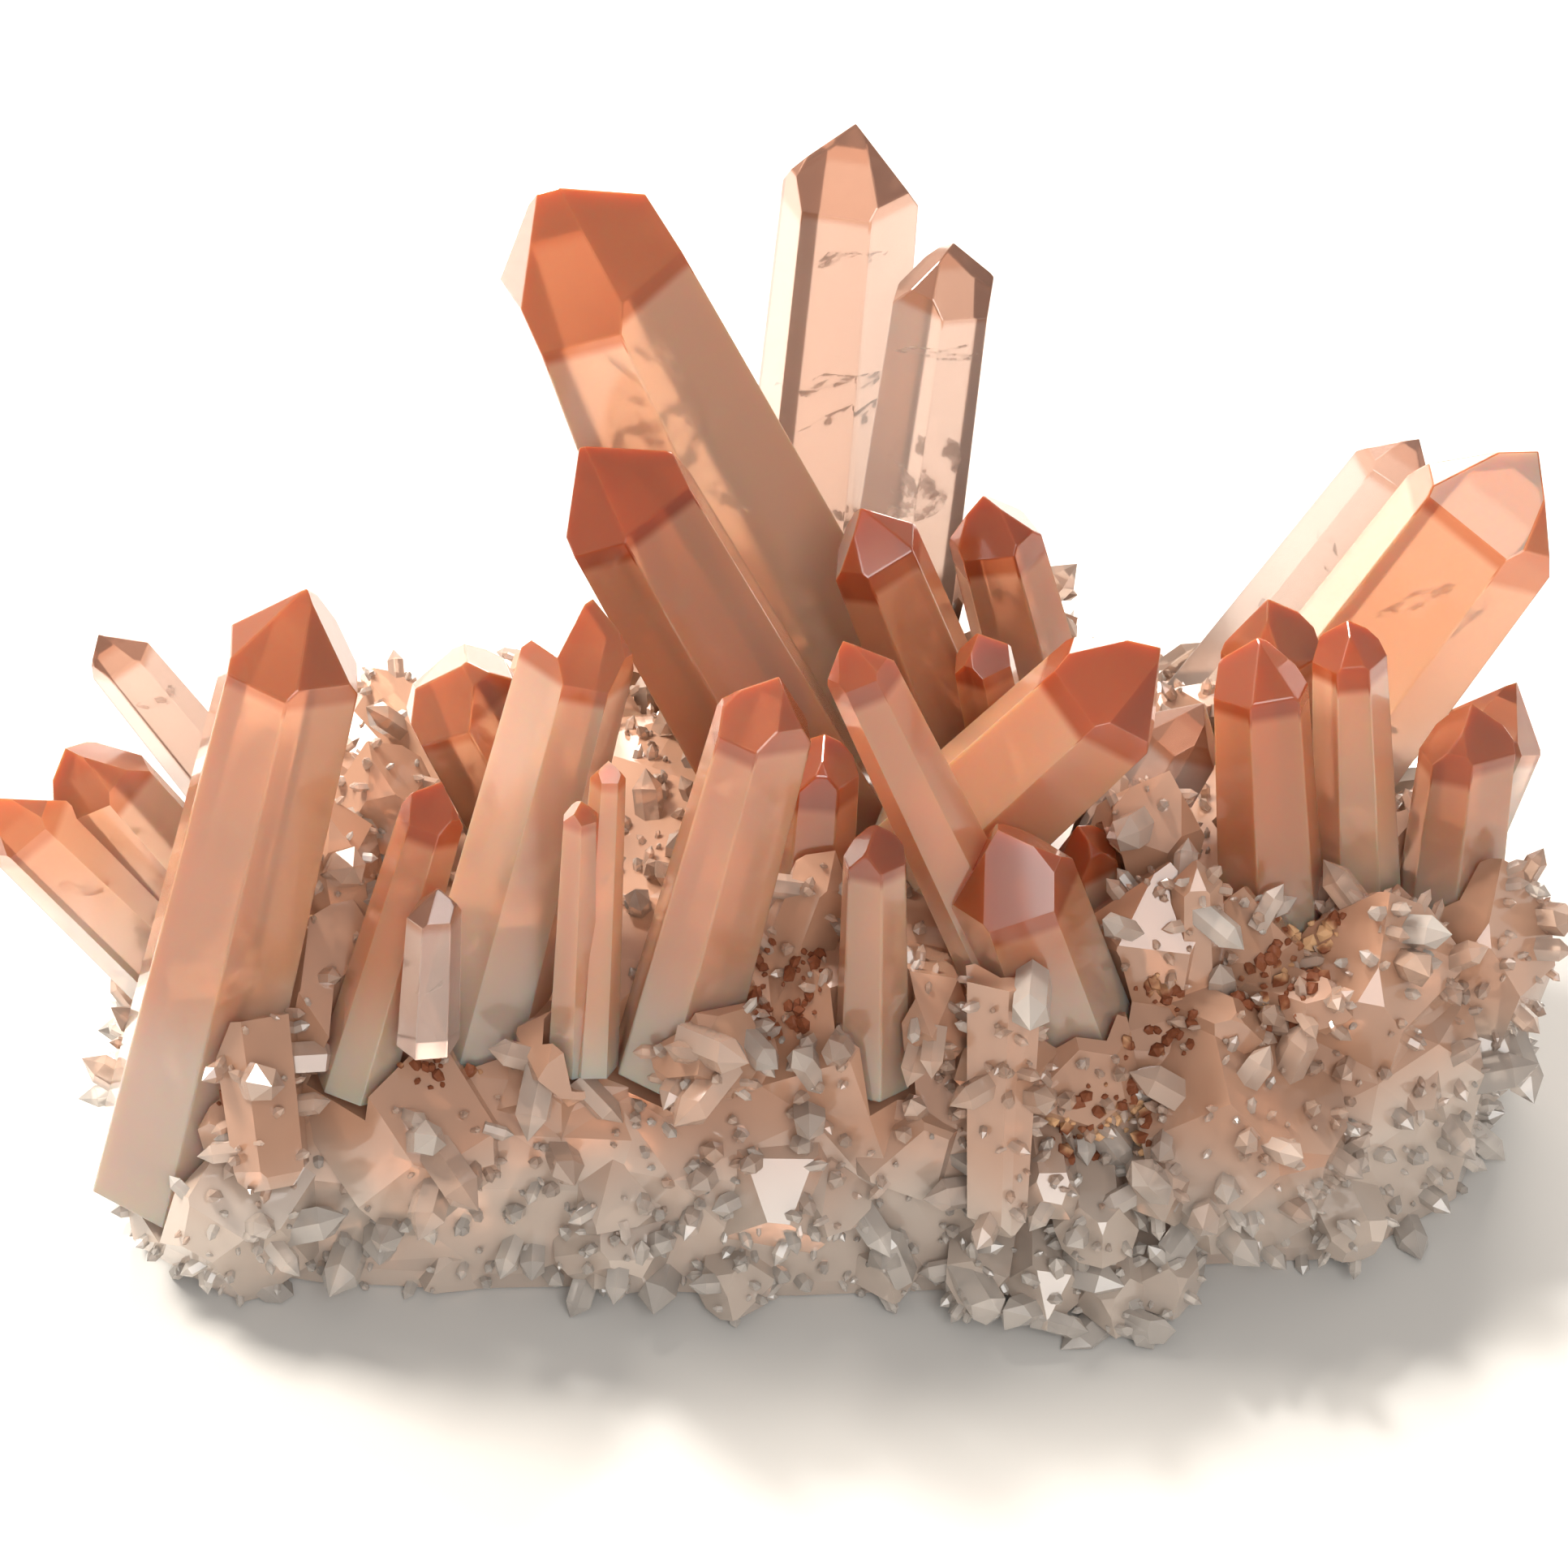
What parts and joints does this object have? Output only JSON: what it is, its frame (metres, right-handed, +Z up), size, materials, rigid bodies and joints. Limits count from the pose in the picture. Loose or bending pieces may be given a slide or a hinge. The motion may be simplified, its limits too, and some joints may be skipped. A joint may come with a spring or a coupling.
{
  "type": "hematoid quartz cluster",
  "caption": "Cluster of iron-stained quartz points, leaning in many directions, on a drusy quartz matrix that rests on its rough underside.",
  "frame": {"origin": "on the resting plane, at the middle of the underside of the matrix", "axes": "+X to the right of the front view, +Y from the front to the back, +Z up"},
  "size_m": [0.0736, 0.0505, 0.042],
  "materials": {
    "stained_quartz": "translucent salmon-orange quartz, smooth faces",
    "pale_quartz": "clear to milky pinkish-white quartz, lightly frosted"
  },
  "bodies": {
    "root": {"matrix": "pale_quartz", "great_point": "stained_quartz", "second_point": "stained_quartz", "tall_back_point": "stained_quartz", "back_right_point": "stained_quartz", "glitter_tip_point": "stained_quartz", "right_back_point": "stained_quartz", "small_amber_point": "stained_quartz", "cross_right_point": "stained_quartz", "parallel_points": "stained_quartz", "front_centre_point": "stained_quartz", "tucked_point": "stained_quartz", "left_centre_point": "stained_quartz", "slim_points": "stained_quartz", "centre_rod": "stained_quartz", "dark_mid_point": "stained_quartz", "left_great_point": "stained_quartz", "left_clear_point": "pale_quartz", "left_twin": "stained_quartz", "broken_point": "stained_quartz", "small_left_point": "stained_quartz", "window_point": "pale_quartz", "right_outer_great": "stained_quartz", "right_clear_point": "pale_quartz", "right_short_point": "stained_quartz", "right_front_point": "stained_quartz", "right_slim_point": "stained_quartz", "right_pale_slab": "pale_quartz", "right_side_point": "stained_quartz", "right_edge_point": "stained_quartz", "hind_left_point": "pale_quartz", "hind_right_point": "pale_quartz"}
  },
  "joints": []
}
